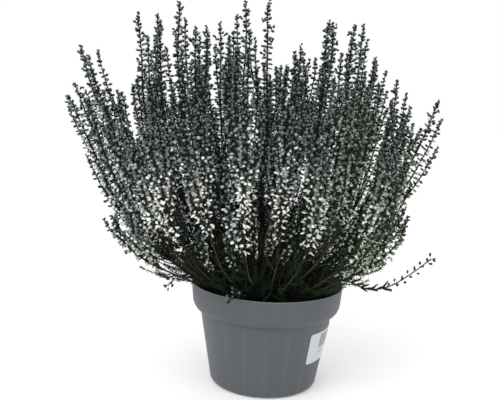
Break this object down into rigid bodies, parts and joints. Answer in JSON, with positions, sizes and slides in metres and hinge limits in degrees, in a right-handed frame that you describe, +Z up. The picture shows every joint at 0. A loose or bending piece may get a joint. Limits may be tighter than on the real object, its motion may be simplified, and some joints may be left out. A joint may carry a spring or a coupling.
{
  "type": "potted heather",
  "caption": "Bud-flowering heather in a round plastic nursery pot: upright bud spikes fan out above dark leafy twigs, with soil and a blank label.",
  "frame": {"origin": "centre of the pot's foot, on the surface that the pot stands on", "axes": "+Z up along the pot's axis, -Y towards the side that the picture shows, +X to the right with the blank label"},
  "size_m": [0.3177, 0.2508, 0.325],
  "materials": {
    "pot_plastic": "satin",
    "label_film": "satin",
    "soil": "matte",
    "buds": "matte",
    "leaves": "matte"
  },
  "bodies": {
    "root": {"pot": "pot_plastic", "label": "label_film", "soil": "soil", "spray_01": "buds", "spray_02": "buds", "spray_03": "buds", "spray_04": "buds", "spray_05": "buds", "spray_06": "buds", "spray_07": "buds", "spray_08": "buds", "spray_09": "buds", "spray_10": "buds", "spray_11": "buds", "spray_12": "buds", "spray_13": "buds", "spray_14": "buds", "spray_15": "buds", "spray_16": "buds", "spray_17": "buds", "spray_18": "buds", "spray_19": "buds", "spray_20": "buds", "spray_21": "buds", "spray_22": "buds", "spray_23": "buds", "spray_24": "buds", "spray_25": "buds", "spray_26": "buds", "spray_27": "buds", "spray_28": "buds", "spray_29": "buds", "spray_30": "buds", "spray_31": "buds", "spray_32": "buds", "spray_33": "buds", "spray_34": "buds", "spray_35": "buds", "spray_36": "buds", "spray_37": "buds", "spray_38": "buds", "spray_39": "buds", "spray_40": "buds", "spray_41": "buds", "spray_42": "buds", "spray_43": "buds", "spray_44": "buds", "spray_45": "buds", "spray_46": "buds", "spray_47": "buds", "spray_48": "buds", "spray_49": "buds", "spray_50": "buds", "low_shoot_1": "leaves", "low_shoot_2": "leaves", "low_shoot_3": "leaves", "low_shoot_4": "leaves", "low_shoot_5": "leaves"}
  },
  "joints": []
}
